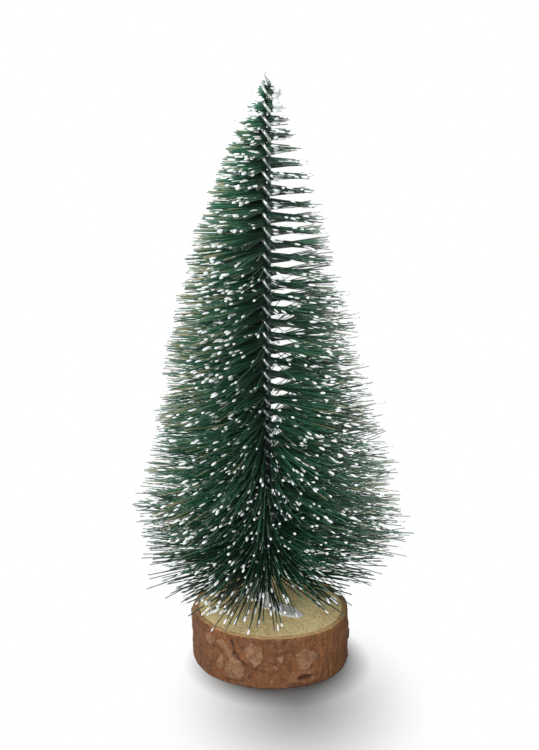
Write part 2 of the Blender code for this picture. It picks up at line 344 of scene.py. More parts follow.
def crack_cover(azimuth, height):
    """How deep a spot lies in the long crack (0 to 1)."""
    nearest = 1.0
    for (a_around, a_height), (b_around, b_height) in zip(CRACK, CRACK[1:]):
        start = Vector((arc_from(azimuth, a_around), height - a_height))
        end = Vector((arc_from(azimuth, b_around), height - b_height))
        run = end - start
        part = min(1.0, max(0.0, -start.dot(run) / run.length_squared))
        nearest = min(nearest, (start + run * part).length)
    along = Vector((azimuth * SLICE_RADIUS, height, 9.0))
    nearest += CRACK_STRAY * noise.noise(along / CRACK_STRAY_LENGTH)
    return smooth_step(CRACK_WIDTH, CRACK_FLOOR * CRACK_WIDTH, nearest)


def knot_reach(azimuth, height):
    """Distance from the knot's middle in half-widths of its dark eye."""
    return math.hypot(arc_from(azimuth, KNOT[0]) * 2 / KNOT_WIDTH, (height - KNOT[1]) * 2 / KNOT_HEIGHT)


def bark_surface(azimuth, height, flakes):
    """Relief of the bark's outside, and how far a spot is flake, painted shade at a flake's edge, crack, knot
    and ploughed.
    """
    way = Vector((math.cos(azimuth), math.sin(azimuth), 0.0)) * SLICE_RADIUS
    spot = Vector((way.x, way.y, height))
    lump = LUMP_HEIGHT * noise.noise(spot / LUMP_SIZE)
    grit = sum(raise_by * noise.noise(spot / size) for raise_by, size in BARK_GRIT)
    off_furrows = abs(math.degrees(turn_from(azimuth, FURROWED_SIDE)))
    ploughed = smooth_step(PLOUGHED_FROM, PLOUGHED_TO, off_furrows)
    stretched = Vector((way.x / FURROW_WIDTH, way.y / FURROW_WIDTH, height / FURROW_LENGTH))
    furrow = noise.noise(stretched) * (UNPLOUGHED + (1 - UNPLOUGHED) * ploughed)
    flake = flake_cover(azimuth, height, flakes)
    crack = crack_cover(azimuth, height)
    eye = knot_reach(azimuth, height) + KNOT_STRAY * noise.noise(spot / KNOT_STRAY_LENGTH)
    knot = smooth_step(*KNOT_EDGE, eye)
    lip = smooth_step(*KNOT_LIP_EDGE, eye) * (1 - knot)
    relief = lump + grit + FURROW_DEPTH * furrow * (1 - FLAKE_SMOOTHING * flake) + FLAKE_RAISE * flake
    relief += KNOT_LIP * lip - KNOT_DEPTH * knot - CRACK_DEPTH * crack
    return relief, max(flake, KNOT_LIP_PALENESS * lip), 4 * flake * (1 - flake), crack, knot, ploughed


# Dry bark: matt red-brown fibre, paler and greyer where a flake has lifted, with painted shade dark round
# each flake's edge and near black in the cracks.
bark_finish, tree, shader, place = new_finish("dry_conifer_bark")
upright = add(tree, "ShaderNodeMapping", {"Vector": place, "Scale": (1.0, 1.0, FIBRE_SQUASH)})
fibre = add(tree, "ShaderNodeTexNoise", {
    "Vector": upright, "Scale": 1 / FIBRE_WIDTH, "Detail": 3.0, "Roughness": 0.6})
mottle = add(tree, "ShaderNodeTexNoise", {
    "Vector": place, "Scale": 1 / MOTTLE_SIZE, "Detail": 4.0, "Roughness": 0.65})
patch = add(tree, "ShaderNodeTexNoise", {"Vector": place, "Scale": 1 / PATCH_SIZE, "Detail": 3.0})
grit = add(tree, "ShaderNodeTexNoise", {
    "Vector": place, "Scale": 1 / GRIT_SIZE, "Detail": 3.0, "Roughness": 0.75})
speckle = add(tree, "ShaderNodeTexNoise", {
    "Vector": place, "Scale": 1 / SPECK_SIZE, "Detail": 2.0, "Roughness": 0.7})
mark = {name: add(tree, "ShaderNodeAttribute", attribute_name=name).outputs["Fac"]
        for name in ("flake", "edge", "crack", "knot", "ploughed", "rim")}
darker = add(tree, "ShaderNodeMapRange", {"Value": mottle, "From Min": 0.36, "From Max": 0.60})
russet = add(tree, "ShaderNodeMapRange", {"Value": patch, "From Min": 0.46, "From Max": 0.68, "To Max": 0.6})
streak = add(tree, "ShaderNodeMapRange", {"Value": fibre, "From Min": 0.38, "From Max": 0.60})
ploughed = add(tree, "ShaderNodeMapRange", {"Value": mark["ploughed"], "To Min": 0.12, "To Max": 0.75})
# painted shade: dark round the edge of each lifted flake
flake_edge_shade = add(tree, "ShaderNodeMapRange", {"Value": mark["edge"], "To Max": 0.55})
gritty = add(tree, "ShaderNodeMapRange", {
    "Value": grit, "From Min": 0.30, "From Max": 0.70, "To Min": 0.66, "To Max": 1.26})
speck = add(tree, "ShaderNodeMapRange", {
    "Value": speckle, "From Min": 0.60, "From Max": 0.70, "To Max": 0.55})
brown = add(tree, "ShaderNodeMix", {
    "Factor": darker, "A": linear(BARK_DARK), "B": linear(BARK_BROWN)}, data_type="RGBA")
redder = add(tree, "ShaderNodeMix", {
    "Factor": russet, "A": brown, "B": linear(BARK_RUSSET)}, data_type="RGBA")
striped = add(tree, "ShaderNodeMix", {
    "Factor": streak, "A": linear(FURROW_DARK), "B": linear(FURROW_LIGHT)}, data_type="RGBA")
furrowed = add(tree, "ShaderNodeMix", {"Factor": ploughed, "A": redder, "B": striped}, data_type="RGBA")
shed = add(tree, "ShaderNodeMix", {
    "Factor": darker, "A": linear(FLAKE_GREY), "B": linear(FLAKE_TAN)}, data_type="RGBA")
worn = add(tree, "ShaderNodeMix", {"Factor": mark["flake"], "A": furrowed, "B": shed}, data_type="RGBA")
# speckle, painted shade at flake edges, knot, painted shade in the crack, and the rim's tan with its painted
# highlight, laid over in turn
for share, colour in (
    (speck, SPECK_PINK), (flake_edge_shade, BARK_DARK), (mark["knot"], KNOT_BROWN), (mark["crack"], CRACK_PAINTED_SHADE),
    (mark["rim"], RIM_TAN),
):
    worn = add(tree, "ShaderNodeMix", {"Factor": share, "A": worn, "B": linear(colour)}, data_type="RGBA")
gritted = add(tree, "ShaderNodeMix", {
    "Factor": 1.0, "A": worn, "B": gritty}, data_type="RGBA", blend_type="MULTIPLY")
rough = add(tree, "ShaderNodeBump", {"Height": grit, "Strength": 0.6, "Distance": GRIT_DEPTH})
feed(tree, shader, {"Base Color": gritted, "Normal": rough, "Roughness": 0.88})

flakes = [(*flake, flake_edges(flake[0])) for flake in (*FRONT_FLAKES, *scattered_flakes())]
wall_foot, wall_top = SLICE_LOW.z + BARK_ROUND, SLICE_TOP - BARK_ROUND
corner = ROUND_MIDDLE * BARK_ROUND
rim_width = BARK_THICKNESS - BARK_ROUND
# The ring's section as distance in from the outside and height: up the wall, in over the rim, out at the foot
bark_section = [(0.0, wall_foot + (wall_top - wall_foot) * i / BARK_ROWS) for i in range(BARK_ROWS + 1)]
bark_section += [(corner, SLICE_TOP - corner)]
bark_section += [(BARK_ROUND + rim_width * i / RIM_STEPS, SLICE_TOP) for i in range(RIM_STEPS + 1)]
bark_section += [(BARK_THICKNESS, SLICE_LOW.z), (BARK_ROUND, SLICE_LOW.z), (corner, SLICE_LOW.z + corner)]
mark_values = {name: [] for name in mark}
bark_rings = []
for inset, height in bark_section:
    kept = 1 - inset / BARK_THICKNESS  # the outside's relief runs out towards the wood
    ring = []
    for i in range(BARK_COLUMNS):
        azimuth = math.tau * i / BARK_COLUMNS
        relief, *shown = bark_surface(azimuth, min(max(height, wall_foot), wall_top), flakes)
        reach = slice_outline(azimuth, inset) + relief * kept
        sag, pale = 0.0, 0.0
        # painted highlight: the rim's tan grows paler towards the front
        if height == SLICE_TOP:
            sag = RIM_SAG * noise.noise(Vector((azimuth * RIM_SAGS_ROUND, inset / RIM_SAG_WIDTH, 1.0)))
            in_front = smooth_step(RIM_HIGHLIGHT_FROM, RIM_HIGHLIGHT_TO, abs(math.degrees(turn_from(azimuth, 0))))
            pale = RIM_PALENESS + (1 - RIM_PALENESS) * in_front
        x = SLICE_MIDDLE.x + reach * math.cos(azimuth)
        y = SLICE_MIDDLE.y + reach * math.sin(azimuth)
        ring.append((x, y, height + sag))
        for name, value in zip(mark_values, [*(v * kept for v in shown), pale]):
            mark_values[name].append(value)
    bark_rings.append(ring)
bark = loft("bark_ring_finish", bark_rings, True, bark_finish)
for name, values in mark_values.items():
    bark.data.attributes.new(name, "FLOAT", "POINT").data.foreach_set("value", values)
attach(bark, "root")
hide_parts("bark_ring")


# Glue puddle
# Hot-melt glue run round the foot of the stem to hold it in the hole, and pressed out in one smear.
# It set as it flowed, in low soft lobes.

GLUE_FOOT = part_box("glue_puddle")[0].z
GLUE_COLUMNS = 96
STEM_RADIUS = 0.00164
GLUE_SPREAD = 0.0020
GLUE_LOBES = ((3, 0.16, 0.7), (7, 0.09, 0.0))  # lobes round, height as a share, phase
GLUE_LUMPS = 0.25  # unevenness of its top, as a share
LUMPS_ROUND, LUMPS_OUT = 3, 4
GLUE_CLIMB = 0.0042
GLUE_SMEAR = 0.0125
GLUE_SMEAR_AZIMUTH = math.radians(-41)
GLUE_SMEAR_SHARPNESS = 10
# The dome's section: share of the way out, and height as a share of the climb
GLUE_SECTION = (
    (0, 0), (0, 0.55), (0, 0.9), (0.05, 1.0), (0.11, 0.62), (0.2, 0.36), (0.35, 0.25), (0.55, 0.21),
    (0.76, 0.18), (0.9, 0.13), (0.97, 0.07), (1.0, 0.02), (0.98, 0),
)

GLUE_WHITE = "#fbfcfa"
GLUE_CLOUDED = "#dde0da"
CLOUD_SIZE = 0.0022
RIPPLE = 0.0005

# Set hot-melt glue: milky, half clear, with a soft wet-looking shine.
glue_finish, tree, shader, place = new_finish("set_hot_melt_glue")
ripple = add(tree, "ShaderNodeTexNoise", {"Vector": place, "Scale": 1 / CLOUD_SIZE, "Detail": 2.0})
cloud = add(tree, "ShaderNodeMapRange", {"Value": ripple, "From Min": 0.35, "From Max": 0.65, "To Min": 0.85})
milky = add(tree, "ShaderNodeMix", {
    "Factor": cloud, "A": linear(GLUE_CLOUDED), "B": linear(GLUE_WHITE)}, data_type="RGBA")
wet = add(tree, "ShaderNodeBump", {"Height": ripple, "Strength": 0.5, "Distance": RIPPLE})
feed(tree, shader, {
    "Base Color": milky, "Normal": wet, "Roughness": 0.20, "IOR": 1.49, "Transmission Weight": 0.1})

glue_rings = []
for outward, climb in GLUE_SECTION:
    ring = []
    for i in range(GLUE_COLUMNS):
        azimuth = math.tau * i / GLUE_COLUMNS
        x, y = math.cos(azimuth), math.sin(azimuth)
        to_smear = max(0.0, math.cos(azimuth - GLUE_SMEAR_AZIMUTH)) ** GLUE_SMEAR_SHARPNESS
        lobe = 1 + sum(height * math.sin(lobes * azimuth + phase) for lobes, height, phase in GLUE_LOBES)
        reach = STEM_RADIUS + outward * (GLUE_SPREAD * lobe + GLUE_SMEAR * to_smear)
        lump = 1 + GLUE_LUMPS * noise.noise(Vector((LUMPS_ROUND * x, LUMPS_ROUND * y, LUMPS_OUT * outward)))
        rise = climb * GLUE_CLIMB * (lump if 0 < outward < 1 else 1.0)
        ring.append((reach * x, reach * y, GLUE_FOOT + rise))
    glue_rings.append(ring)
glue = loft("glue_puddle_finish", glue_rings, True, glue_finish)
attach(glue, "root")
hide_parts("glue_puddle")


# Stem wires
# Two lengths of lacquered steel wire, twisted left-handed on a spinning jig with the filament between them.
# Their feet are glued into the slice. At the top one is cut short, and the other leans in over it.

TREE_HEIGHT = 0.200
WIRE_FOOT = 0.0063
WIRE_RADIUS = 0.00062
WIRE_ORBIT = 0.00102
TIP_ORBIT = 0.0002
TIP_THINNING = 0.32  # the cutter pinched the end to this share of the wire's thickness
SHORT_WIRE_TOP = 0.1967
PINCH_LENGTH = 0.0010  # height in which the pinched end thins
WIRE_SIDES = 12
WIRE_POINTS_PER_TURN = 28
BRUSH_FOOT = 0.0295
BRUSH_TOP = 0.1955
BRUSH_TURNS = 19
TWIST_PITCH = (BRUSH_TOP - BRUSH_FOOT) / BRUSH_TURNS

STEEL_GREY = "#d8dedb"
LACQUER_DULL = "#79837f"
WEAR_SIZE = 0.0024


def new_shape(name, sizes):
    """An empty node tree that takes named sizes and gives a mesh."""
    tree = bpy.data.node_groups.new(name, "GeometryNodeTree")
    for size, kind in sizes.items():
        tree.interface.new_socket(size, in_out="INPUT", socket_type=kind)
    tree.interface.new_socket("Mesh", in_out="OUTPUT", socket_type="NodeSocketGeometry")
    return tree, add(tree, "NodeGroupInput").outputs


def grow(name, tree, values):
    """A plain mesh piece from a node tree and the values of its named inputs."""
    piece = bpy.data.objects.new(name, bpy.data.meshes.new(name))
    bpy.context.scene.collection.objects.link(piece)
    grower = piece.modifiers.new("shape", "NODES")
    grower.node_group = tree
    for item in tree.interface.items_tree:
        if item.in_out == "INPUT":
            grower[item.identifier] = values[item.name]
    evaluated = piece.evaluated_get(bpy.context.evaluated_depsgraph_get())
    mesh = bpy.data.meshes.new_from_object(evaluated)
    piece.modifiers.remove(grower)
    piece.data = mesh
    mesh.name = name
    return piece


# Lacquered wire: smooth drawn steel under a thin dull coat, grey where it faces the light and dark between.
lacquer, tree, shader, place = new_finish("lacquered_steel_wire")
wear = add(tree, "ShaderNodeTexNoise", {"Vector": place, "Scale": 1 / WEAR_SIZE, "Detail": 2.0})
dull = add(tree, "ShaderNodeMapRange", {"Value": wear, "From Min": 0.40, "From Max": 0.65})
coat = add(tree, "ShaderNodeMix", {
    "Factor": dull, "A": linear(STEEL_GREY), "B": linear(LACQUER_DULL)}, data_type="RGBA")
gloss = add(tree, "ShaderNodeMapRange", {"Value": wear, "To Min": 0.30, "To Max": 0.45})
feed(tree, shader, {"Base Color": coat, "Roughness": gloss, "Metallic": 0.9})

twist, size = new_shape("twisted_wire", {
    "Wire radius": "NodeSocketFloat", "Orbit": "NodeSocketFloat", "Turns": "NodeSocketFloat",
    "Foot": "NodeSocketFloat", "Height": "NodeSocketFloat", "Start angle": "NodeSocketFloat",
    "Lean from": "NodeSocketFloat", "Lean to": "NodeSocketFloat", "Tip share": "NodeSocketFloat",
    "Finish": "NodeSocketMaterial",
})
helix = add(twist, "GeometryNodeCurveSpiral", {
    "Resolution": WIRE_POINTS_PER_TURN, "Rotations": size["Turns"], "Start Radius": size["Orbit"],
    "End Radius": size["Orbit"], "Height": size["Height"]})
lift = add(twist, "ShaderNodeCombineXYZ", {"Z": size["Foot"]})
turned = add(twist, "ShaderNodeCombineXYZ", {"Z": size["Start angle"]})
placed = add(twist, "GeometryNodeTransform", {"Geometry": helix, "Translation": lift, "Rotation": turned})
spot = add(twist, "GeometryNodeInputPosition")
level = add(twist, "ShaderNodeSeparateXYZ", {"Vector": spot}).outputs["Z"]
drawn_in = add(twist, "ShaderNodeMapRange", {
    "Value": level, "From Min": size["Lean from"], "From Max": size["Lean to"],
    "To Min": 1.0, "To Max": size["Tip share"]})
inward = add(twist, "ShaderNodeCombineXYZ", {"X": drawn_in, "Y": drawn_in, "Z": 1.0})
leaning = add(twist, "ShaderNodeVectorMath", {0: spot, 1: inward}, operation="MULTIPLY")
leant = add(twist, "GeometryNodeSetPosition", {"Geometry": placed, "Position": leaning})
section = add(twist, "GeometryNodeCurvePrimitiveCircle", {
    "Resolution": WIRE_SIDES, "Radius": size["Wire radius"]})
thinned = add(twist, "ShaderNodeMapRange", {
    "Value": level, "From Min": size["Lean from"], "From Max": SHORT_WIRE_TOP + PINCH_LENGTH,
    "To Min": 1.0, "To Max": TIP_THINNING})
drawn = add(twist, "GeometryNodeCurveToMesh", {
    "Curve": leant, "Profile Curve": section, "Scale": thinned, "Fill Caps": True})
whole = add(twist, "GeometryNodeRealizeInstances", {"Geometry": drawn})
shown = add(twist, "GeometryNodeSetMaterial", {"Geometry": whole, "Material": size["Finish"]})
add(twist, "NodeGroupOutput", {"Mesh": shown})

for node, start, top in (("stem_wire_a", 0.0, TREE_HEIGHT), ("stem_wire_b", math.pi, SHORT_WIRE_TOP)):
    wire = grow(node + "_finish", twist, {
        "Wire radius": WIRE_RADIUS, "Orbit": WIRE_ORBIT, "Turns": (top - WIRE_FOOT) / TWIST_PITCH,
        "Foot": WIRE_FOOT, "Height": top - WIRE_FOOT,
        "Start angle": start - math.tau * (WIRE_FOOT - BRUSH_FOOT) / TWIST_PITCH,
        "Lean from": SHORT_WIRE_TOP, "Lean to": TREE_HEIGHT, "Tip share": TIP_ORBIT / WIRE_ORBIT,
        "Finish": lacquer})
    wire.data.shade_smooth()
    wire.data.set_sharp_from_angle(angle=SHARP_FROM)
    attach(wire, "root")
    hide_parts(node)


# Filament turns
# Stiff green PVC filament, laid between the wires before they were twisted and trimmed to a cone afterwards,
# so each turn of the wires throws out two opposite fans.
# The tips were dipped in white snow paint, which dried in drops.

FILAMENTS = 320  # on each side of one turn
FILAMENT_THICKNESS = 0.00033
FILAMENT_POINTS = 5
FILAMENT_SIDES = 3
NUMBERS_PER_TURN = 1000.0  # more than its filaments, so that no two in the brush share a number
NOISE_MIDDLE = (0.5, 0.5, 0.5)  # noise colours swing about this

# Outline of the brush
BRUSH_RADIUS = 0.0503
OUTLINE_POWER = 0.68  # 1 is a straight cone, and less is fuller
SHORTEST = 0.0034
LENGTH_SPREAD = 0.16  # share by which lengths differ at the foot, and less above
RIGHT_UNEVEN = 0.60  # the same on the right, near the top, where the rows end in points
STRAGGLER_CUT = 0.70  # the shortest are cut this much shorter
STRAGGLER_POWER = 3.0  # higher leaves fewer of them
LOPSIDED = 0.06  # the left is this much longer near the top
LOPSIDED_FOOT = 0.045  # and the right near the foot
LOPSIDED_FROM, LOPSIDED_TO = 0.17, 0.67  # shares of the brush's height between which that changes over

# Foot of the brush, where nothing below holds the filaments
FOOT_FADE = 0.0047  # height in which what follows falls to about a third
FOOT_SHARE = 0.52  # of the full length
RIGHT_SPARED = 0.15  # share of that trim that the right was spared
FOOT_UNEVEN = 0.55  # more spread of length
FOOT_DROOP = math.radians(26)  # of the filaments that hang most
LIMP_POWER = 4.0  # higher lets fewer hang
FOOT_SPLAY = math.radians(45)  # more spread to the sides
FOOT_LOSS = 0.72  # share of the filament that has come out
FOOT_STOUTNESS = 0.8  # more thickness, as a share

# Locks, which cling together, and tufts of locks, which lean together
LOCKS_PER_TURN = 9.0  # about this many on each side
LOCK_SWAY = math.radians(26)
LOCK_LIFT = 0.0180
LOCK_LENGTH = 0.26  # share by which their lengths differ
TUFT_HEIGHT = 0.0110
TUFTS_ROUND = 1.2  # higher gives narrower tufts
TUFT_LIFT = 0.0300
TUFT_LENGTH = 0.25
AZIMUTH_SPREAD = math.radians(8)  # of single filaments
TILT_SPREAD = math.radians(1.8)

# The right of the brush, pressed in its packing: rows with gaps between them
PARTING = math.radians(42)  # turn of the filaments in front and behind, near the top
PARTING_FOOT = math.radians(4)
PARTING_FROM, PARTING_TO = 0.26, 0.46  # shares of the brush's height between which it opens
PARTING_SHARPNESS = 3.0  # higher keeps it closer to the front and the back
PARTING_LEFT = 0.4  # share of it on the left
PARTING_CHANGE = 0.2  # how far to each side, as a share of the way out, it changes to that
UNPARTED = 0.07  # share of the filaments that it missed
RIGHT_LOSS = 0.84  # share of the filament that has come out between the rows
RIGHT_FANNING = math.radians(80)  # a third of the way up, filaments rise or fall by up to a seventh of this
RIGHT_LIFT = math.radians(6)  # rise of the lowest filaments there

# Dye and painted shade: a filament's dye runs from pale (1) to deep green (0), and painted shade takes its
# tint below that, to near black
FOOT_PAINTED_SHADE = 2.2  # painted shade, taken off the tint at the foot
LOW_PAINTED_SHADE = 0.7  # painted shade low down, where the filament is densest
RIGHT_PAINTED_SHADE = 1.3  # painted shade on the right, near the top
FRONT_UNFADED = 0.16  # share taken off in front and behind, where fewer filaments have gone olive

# Drops of paint
SNOW_SHARE = 0.22  # of the tips
SNOW_ON_LOWEST = 0.8  # more on the lowest, which hang clear
SNOW_ON_LONGEST = 0.42  # of the usual share. The shortest took as much over it as the longest took under
SNOW_TO_SIDES, SNOW_IN_FRONT = 0.60, 1.6  # the sides took less of the paint than the front and the back
SNOW_ON_RIGHT = 1.2  # more near the top on the right
SNOW_LENGTH = 0.0025
SNOW_LENGTHS = (0.55, 1.5)  # the shortest and the longest drop, as shares of that
SNOW_WIDTH = 0.00074
SNOW_WIDTHS = (0.65, 1.2)
DROP_SEGMENTS, DROP_RINGS = 6, 5

FILAMENT_PAINTED_ROOT_SHADE = "#0b2318"
FILAMENT_PAINTED_SHADE = "#132b1a"
FILAMENT_DEEP = "#18432d"
FILAMENT_GREEN = "#589f7c"
FILAMENT_OLIVE = "#b5a67a"
FROST = "#dfeaea"
SNOW_WHITE = "#ffffff"
SNOW_BLUISH = "#e2eef0"
CHALK_SIZE = 0.0006  # coarser than the real grain, so that it shows

# Drawn PVC filament: deep green and smooth, with a thin bright line of shine along each thread, and painted
# shade that darkens it towards the stem and wherever its tint falls below 0.
filament_finish, tree, shader, place = new_finish("green_pvc_filament")
dye_and_painted_shade = add(tree, "ShaderNodeAttribute", attribute_name="dye_and_painted_shade").outputs["Fac"]
along = add(tree, "ShaderNodeAttribute", attribute_name="along").outputs["Fac"]
faded = add(tree, "ShaderNodeMapRange", {"Value": dye_and_painted_shade, "From Min": 0.70, "From Max": 0.80, "To Max": 0.95})
outer = add(tree, "ShaderNodeMapRange", {"Value": along, "From Min": 0.60, "From Max": 0.90})
olive = add(tree, "ShaderNodeMath", {0: faded, 1: outer}, operation="MULTIPLY")
# painted shade: darker towards the stem, deep inside the brush
painted_root_shade = add(tree, "ShaderNodeMapRange", {
    "Value": along, "From Min": 0.1, "From Max": 0.7, "To Min": 0.85, "To Max": 0.0})
frosted = add(tree, "ShaderNodeMapRange", {"Value": along, "From Min": 0.88, "To Max": 0.22})
# painted shade: a tint below 0 goes towards near black
painted_shade_share = add(tree, "ShaderNodeMapRange", {
    "Value": dye_and_painted_shade, "From Min": -0.8, "From Max": 0.0, "To Min": 1.0, "To Max": 0.0})
dye_and_painted_shade_colour = add(tree, "ShaderNodeMix", {
    "Factor": dye_and_painted_shade, "A": linear(FILAMENT_DEEP), "B": linear(FILAMENT_GREEN)}, data_type="RGBA")
for share, colour in (
    (painted_shade_share, FILAMENT_PAINTED_SHADE), (painted_root_shade, FILAMENT_PAINTED_ROOT_SHADE), (olive, FILAMENT_OLIVE), (frosted, FROST),
):
    dye_and_painted_shade_colour = add(tree, "ShaderNodeMix", {"Factor": share, "A": dye_and_painted_shade_colour, "B": linear(colour)}, data_type="RGBA")
feed(tree, shader, {"Base Color": dye_and_painted_shade_colour, "Roughness": 0.36, "IOR": 1.53})

# Dried snow paint: thick chalky white beads, a little uneven, with a faint painted glow of their own that
# keeps them white where they are in shade.
snow_finish, tree, shader, place = new_finish("dried_snow_paint")
chalk = add(tree, "ShaderNodeTexNoise", {"Vector": place, "Scale": 1 / CHALK_SIZE, "Detail": 2.0})
pale = add(tree, "ShaderNodeMix", {
    "Factor": chalk, "A": linear(SNOW_BLUISH), "B": linear(SNOW_WHITE)}, data_type="RGBA")
# painted light: a faint white glow, though the paint is no lamp
feed(tree, shader, {
    "Base Color": pale, "Roughness": 0.5, "Emission Color": linear(SNOW_WHITE), "Emission Strength": 0.2})

brush, size = new_shape("filament_turn", {
    "Foot": "NodeSocketFloat", "Filaments": "NodeSocketInt", "Thickness": "NodeSocketFloat",
    "Brush radius": "NodeSocketFloat", "Droop": "NodeSocketFloat", "Lock sway": "NodeSocketFloat",
    "Lock lift": "NodeSocketFloat", "Parting": "NodeSocketFloat", "Snow length": "NodeSocketFloat",
    "Snow width": "NodeSocketFloat", "Seed": "NodeSocketInt", "Filament": "NodeSocketMaterial",
    "Snow": "NodeSocketMaterial",
})
# Where each filament leaves the stem: pairs climb the turn, one to each side
ends = add(brush, "ShaderNodeMath", {0: size["Filaments"], 1: 2.0}, operation="MULTIPLY")
roots = add(brush, "GeometryNodePoints", {"Count": ends})
place_in_turn = add(brush, "GeometryNodeInputIndex")
number = add(brush, "ShaderNodeMath", {
    0: size["Seed"], 1: NUMBERS_PER_TURN, 2: place_in_turn}, operation="MULTIPLY_ADD")
halved = add(brush, "ShaderNodeMath", {0: place_in_turn, 1: 2.0}, operation="DIVIDE")
pair = add(brush, "ShaderNodeMath", {0: halved}, operation="FLOOR")
side = add(brush, "ShaderNodeMath", {0: place_in_turn, 1: 2.0}, operation="MODULO")
stray = add(brush, "FunctionNodeRandomValue", {"ID": number, "Seed": 1}, data_type="FLOAT")
strayed = add(brush, "ShaderNodeMath", {0: pair, 1: stray}, operation="ADD")
share = add(brush, "ShaderNodeMath", {0: strayed, 1: size["Filaments"]}, operation="DIVIDE")
height = add(brush, "ShaderNodeMath", {0: share, 1: TWIST_PITCH, 2: size["Foot"]}, operation="MULTIPLY_ADD")
above = add(brush, "ShaderNodeMath", {0: height, 1: BRUSH_FOOT}, operation="SUBTRACT")
wound = add(brush, "ShaderNodeMath", {
    0: above, 1: -math.tau / TWIST_PITCH, 2: math.pi / 2}, operation="MULTIPLY_ADD")
sided = add(brush, "ShaderNodeMath", {0: side, 1: math.pi, 2: wound}, operation="MULTIPLY_ADD")
# Where that is on the brush: how high, how near the foot, how far to the right, in front or behind
climb = add(brush, "ShaderNodeMath", {
    0: above, 1: BRUSH_TOP - BRUSH_FOOT}, operation="DIVIDE", use_clamp=True)
left = add(brush, "ShaderNodeMath", {0: 1.0, 1: climb}, operation="SUBTRACT")
low_down = add(brush, "ShaderNodeMath", {0: left, 1: left}, operation="MULTIPLY")
very_low = add(brush, "ShaderNodeMath", {0: low_down, 1: low_down}, operation="MULTIPLY")
high_up = add(brush, "ShaderNodeMath", {0: 1.0, 1: low_down}, operation="SUBTRACT")
low_by = add(brush, "ShaderNodeMath", {0: above, 1: -FOOT_FADE}, operation="DIVIDE")
at_foot = add(brush, "ShaderNodeMath", {0: low_by}, operation="EXPONENT")
lowest = add(brush, "ShaderNodeMath", {0: at_foot, 1: at_foot}, operation="MULTIPLY")
sideways = add(brush, "ShaderNodeMath", {0: sided}, operation="COSINE")
rightward = add(brush, "ShaderNodeMath", {0: sided}, operation="COSINE", use_clamp=True)
on_right = add(brush, "ShaderNodeMath", {0: sideways, 1: 0.0}, operation="GREATER_THAN")
high_right = add(brush, "ShaderNodeMath", {0: on_right, 1: high_up}, operation="MULTIPLY")
top_right = add(brush, "ShaderNodeMath", {0: high_right, 1: climb}, operation="MULTIPLY")
low_right = add(brush, "ShaderNodeMath", {0: rightward, 1: low_down}, operation="MULTIPLY")
fore_or_aft = add(brush, "ShaderNodeMath", {0: sided}, operation="SINE")
fore_and_aft = add(brush, "ShaderNodeMath", {0: fore_or_aft}, operation="ABSOLUTE")
# Locks and tufts: noise that neighbours share, with sway in X, lift in Y and length in Z
lock_spot = add(brush, "ShaderNodeCombineXYZ", {"X": share, "Y": side, "Z": size["Seed"]})
lock = add(brush, "ShaderNodeTexNoise", {"Vector": lock_spot, "Scale": LOCKS_PER_TURN, "Detail": 1.0})
lock_way = add(brush, "ShaderNodeVectorMath", {
    0: lock.outputs["Color"], 1: NOISE_MIDDLE}, operation="SUBTRACT")
lock_parts = add(brush, "ShaderNodeSeparateXYZ", {"Vector": lock_way}).outputs
tuft_level = add(brush, "ShaderNodeMath", {0: height, 1: TUFT_HEIGHT}, operation="DIVIDE")
tuft_side = add(brush, "ShaderNodeMath", {0: sideways, 1: TUFTS_ROUND}, operation="MULTIPLY")
tuft_front = add(brush, "ShaderNodeMath", {0: fore_or_aft, 1: TUFTS_ROUND}, operation="MULTIPLY")
tuft_spot = add(brush, "ShaderNodeCombineXYZ", {"X": tuft_side, "Y": tuft_front, "Z": tuft_level})
tuft = add(brush, "ShaderNodeTexNoise", {"Vector": tuft_spot, "Scale": 1.0, "Detail": 1.0})
tuft_way = add(brush, "ShaderNodeVectorMath", {
    0: tuft.outputs["Color"], 1: NOISE_MIDDLE}, operation="SUBTRACT")
tuft_parts = add(brush, "ShaderNodeSeparateXYZ", {"Vector": tuft_way}).outputs
# Reach: a full cone, shorter at the foot, a little lopsided, with locks and filaments of unlike length
cone = add(brush, "ShaderNodeMath", {0: left, 1: OUTLINE_POWER}, operation="POWER")
foot_trim = add(brush, "ShaderNodeMath", {0: rightward, 1: -RIGHT_SPARED, 2: 1.0}, operation="MULTIPLY_ADD")
trimmed = add(brush, "ShaderNodeMath", {0: at_foot, 1: foot_trim}, operation="MULTIPLY")
foot_cut = add(brush, "ShaderNodeMath", {0: trimmed, 1: FOOT_SHARE - 1, 2: 1.0}, operation="MULTIPLY_ADD")
spread = add(brush, "ShaderNodeMath", {0: left, 1: LENGTH_SPREAD}, operation="MULTIPLY")
uneven_right = add(brush, "ShaderNodeMath", {
    0: top_right, 1: RIGHT_UNEVEN, 2: spread}, operation="MULTIPLY_ADD")
uneven = add(brush, "ShaderNodeMath", {
    0: at_foot, 1: FOOT_UNEVEN, 2: uneven_right}, operation="MULTIPLY_ADD")
chance = add(brush, "FunctionNodeRandomValue", {"ID": number, "Seed": 11}, data_type="FLOAT")
straggler = add(brush, "ShaderNodeMath", {0: chance, 1: STRAGGLER_POWER}, operation="POWER")
far_shorter = add(brush, "ShaderNodeMath", {0: straggler, 1: STRAGGLER_CUT}, operation="MULTIPLY")
shorter = add(brush, "ShaderNodeMath", {0: uneven, 1: chance, 2: far_shorter}, operation="MULTIPLY_ADD")
lock_cut = add(brush, "ShaderNodeMath", {
    0: lock_parts["Z"], 1: LOCK_LENGTH, 2: 1.0}, operation="MULTIPLY_ADD")
tuft_cut = add(brush, "ShaderNodeMath", {
    0: tuft_parts["Z"], 1: TUFT_LENGTH, 2: lock_cut}, operation="MULTIPLY_ADD")
trim = add(brush, "ShaderNodeMath", {0: tuft_cut, 1: shorter}, operation="SUBTRACT")
